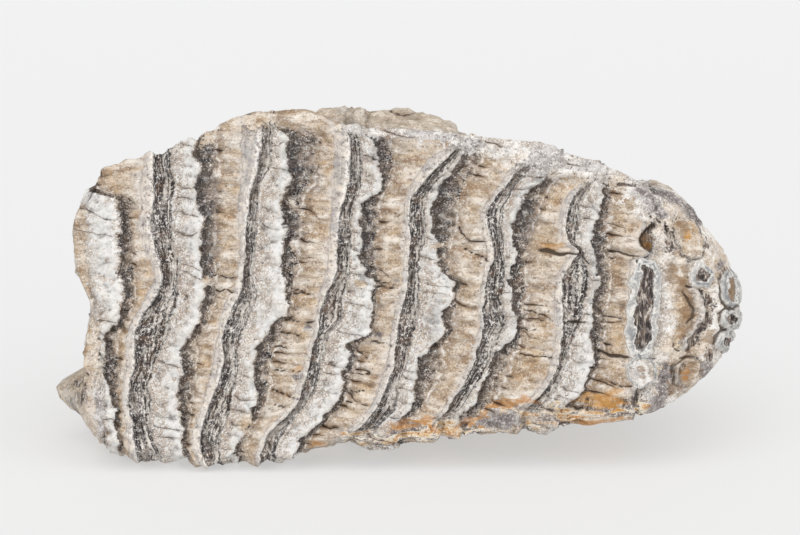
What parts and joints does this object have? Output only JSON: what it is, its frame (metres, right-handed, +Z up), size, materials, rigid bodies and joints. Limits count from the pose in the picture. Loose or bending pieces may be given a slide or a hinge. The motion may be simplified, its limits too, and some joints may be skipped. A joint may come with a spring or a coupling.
{
  "type": "fossil mammoth tooth",
  "caption": "Fossil mammoth molar lying on its side, with its ridged chewing face upright to the front, a broken left end and a rounded right end with small enamel rings.",
  "frame": {"origin": "centre of the tooth's footprint, on the surface that it lies on", "axes": "+X along the tooth towards the small unworn end, +Y from the chewing face back to the root side, +Z up"},
  "size_m": [0.1806, 0.0856, 0.0886],
  "materials": {
    "fossil_tooth": "mineralised tooth: tan cement ribs, grey enamel crests, dark dentine troughs and chalky white ledges, dull"
  },
  "bodies": {
    "root": {"tooth": "fossil_tooth"}
  },
  "joints": []
}
